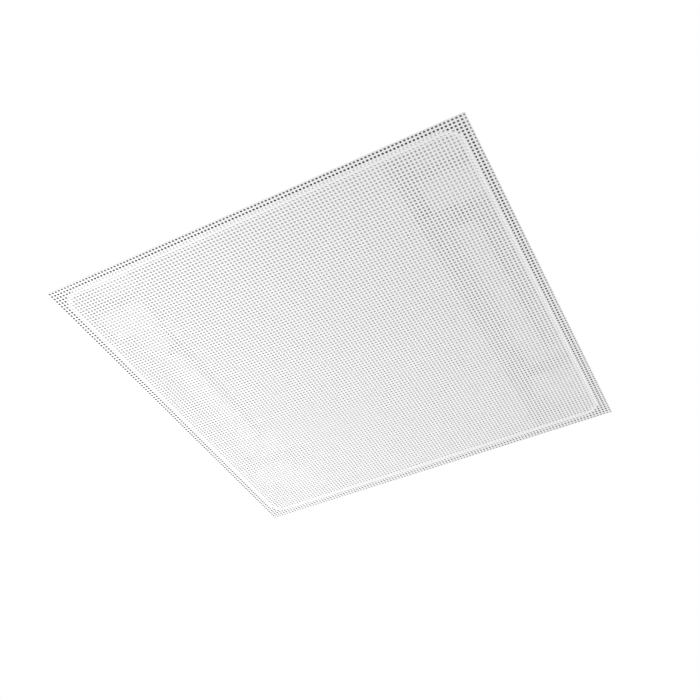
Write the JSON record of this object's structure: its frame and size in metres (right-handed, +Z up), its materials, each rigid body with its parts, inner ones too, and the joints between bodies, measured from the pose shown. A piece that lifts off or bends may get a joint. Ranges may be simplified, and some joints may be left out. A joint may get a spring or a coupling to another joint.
{
  "type": "recessed troffer light",
  "caption": "Square lay-in ceiling light with a flat perforated sheet-metal face, a shallow pressed tray behind it, swing clips and a hinged wiring box.",
  "frame": {"origin": "centre of the face's underside, the plane that rests on the ceiling grid", "axes": "+Z up into the ceiling void, X across the two gear channels with the driver at +X, Y along the channels"},
  "size_m": [0.595, 0.595, 0.0641],
  "materials": {
    "face_paint": "matt white powder coat",
    "tray_paint": "matt white powder coat",
    "frame_zinc": "dull galvanised",
    "opal": "satin opal",
    "rail_steel": "satin white",
    "board_white": "satin solder mask",
    "phosphor": "satin",
    "plug_white": "satin",
    "screw_steel": "zinc plated",
    "gear_case_paint": "satin white",
    "cap_plastic": "satin",
    "lead_white": "satin",
    "supply_cores": "satin",
    "earth_core": "satin",
    "grommet_rubber": "matt",
    "box_plastic": "satin",
    "terminal_grey": "satin",
    "lever_brown": "satin",
    "lever_blue": "satin",
    "lever_green": "satin",
    "tin_brass": "tinned",
    "zinc_steel": "galvanised"
  },
  "bodies": {
    "housing": {"perforated_face": "face_paint", "edge_frame": "frame_zinc", "rear_tray": "tray_paint", "diffuser_cover": "opal", "diffuser_rails": "rail_steel", "led_board_left": "board_white", "led_board_centre": "board_white", "led_board_right": "board_white", "led_chips": "phosphor", "board_plugs": "plug_white", "gear_screws": "screw_steel", "box_screws": "screw_steel", "clamp_screws": "screw_steel", "clip_pivots": "screw_steel", "earth_stud": "screw_steel", "earth_nut": "screw_steel", "lid_hinge_pins": "screw_steel", "lever_pin": "screw_steel", "driver_case": "gear_case_paint", "module_case": "gear_case_paint", "driver_end_caps": "cap_plastic", "module_end_caps": "cap_plastic", "led_leads": "lead_white", "board_links": "lead_white", "control_leads": "lead_white", "supply_leads": "supply_cores", "earth_lead": "earth_core", "wire_grommet": "grommet_rubber", "cable_bush": "grommet_rubber", "wiring_box": "box_plastic", "cable_clamp": "box_plastic", "terminal_block": "terminal_grey", "earth_tag": "tin_brass", "hanger_tabs": "zinc_steel"},
    "clip_left_near": {"swing_clip_left_near": "zinc_steel"},
    "clip_left_far": {"swing_clip_left_far": "zinc_steel"},
    "clip_right_near": {"swing_clip_right_near": "zinc_steel"},
    "clip_right_far": {"swing_clip_right_far": "zinc_steel"},
    "box_lid": {"wiring_box_lid": "box_plastic"},
    "live_lever": {"lever_live": "lever_brown"},
    "neutral_lever": {"lever_neutral": "lever_blue"},
    "earth_lever": {"lever_earth": "lever_green"}
  },
  "joints": [
    {"name": "clip_left_near_swing", "type": "hinge", "parent": "housing", "child": "clip_left_near", "pos_m": [-0.266, -0.1815, 0.0127], "axis": [0, 0, -1], "range_deg": [0, 90]},
    {"name": "clip_left_far_swing", "type": "hinge", "parent": "housing", "child": "clip_left_far", "pos_m": [-0.266, 0.1815, 0.0127], "axis": [0, 0, 1], "range_deg": [0, 90]},
    {"name": "clip_right_near_swing", "type": "hinge", "parent": "housing", "child": "clip_right_near", "pos_m": [0.266, -0.1815, 0.0127], "axis": [0, 0, 1], "range_deg": [0, 90]},
    {"name": "clip_right_far_swing", "type": "hinge", "parent": "housing", "child": "clip_right_far", "pos_m": [0.266, 0.1815, 0.0127], "axis": [0, 0, -1], "range_deg": [0, 90]},
    {"name": "box_lid_hinge", "type": "hinge", "parent": "housing", "child": "box_lid", "pos_m": [0.1969, 0.1165, 0.0608], "axis": [0, -1, 0], "range_deg": [0, 110]},
    {"name": "live_lever_tilt", "type": "hinge", "parent": "housing", "child": "live_lever", "pos_m": [0.222, 0.1105, 0.0444], "axis": [-1, 0, 0], "range_deg": [0, 80]},
    {"name": "neutral_lever_tilt", "type": "hinge", "parent": "housing", "child": "neutral_lever", "pos_m": [0.232, 0.1105, 0.0444], "axis": [-1, 0, 0], "range_deg": [0, 80]},
    {"name": "earth_lever_tilt", "type": "hinge", "parent": "housing", "child": "earth_lever", "pos_m": [0.242, 0.1105, 0.0444], "axis": [-1, 0, 0], "range_deg": [0, 80]}
  ]
}
